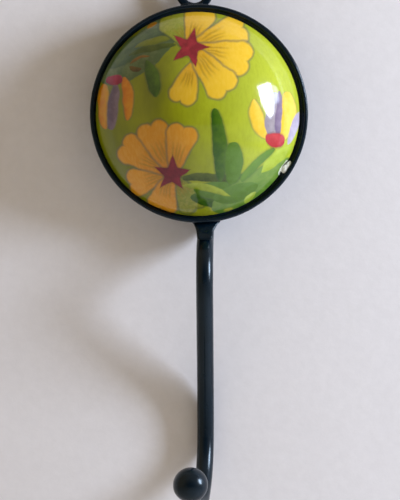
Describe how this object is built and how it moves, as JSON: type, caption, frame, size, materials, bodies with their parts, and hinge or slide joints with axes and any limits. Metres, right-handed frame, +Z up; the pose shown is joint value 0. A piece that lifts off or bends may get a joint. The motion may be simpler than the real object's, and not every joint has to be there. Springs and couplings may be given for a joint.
{
  "type": "wall hook",
  "caption": "Wall hook: a painted iron cup holding a glazed ceramic dome, a bowed round rod ending in an upturned hook with a ball tip, and a small hanging ring on top.",
  "frame": {"origin": "centre of the hanging ring's bore, halfway through its thickness; the wall is the plane y = 0.003", "axes": "+Z up; the dome and the hook face -Y; +Y into the wall along the hanging ring's bore"},
  "size_m": [0.0505, 0.0345, 0.1254],
  "materials": {
    "black_enamel": "gloss black paint over iron",
    "cement": "matt white cement",
    "glazed_ceramic": "hand-painted, clear gloss glaze"
  },
  "bodies": {
    "root": {"hanging_ring": "black_enamel", "ring_weld": "black_enamel", "cup": "black_enamel", "cement_bed": "cement", "ceramic_dome": "glazed_ceramic", "hook_rod": "black_enamel", "rod_weld_left": "black_enamel", "rod_weld_right": "black_enamel", "foot_weld": "black_enamel", "ball_tip": "black_enamel"}
  },
  "joints": []
}
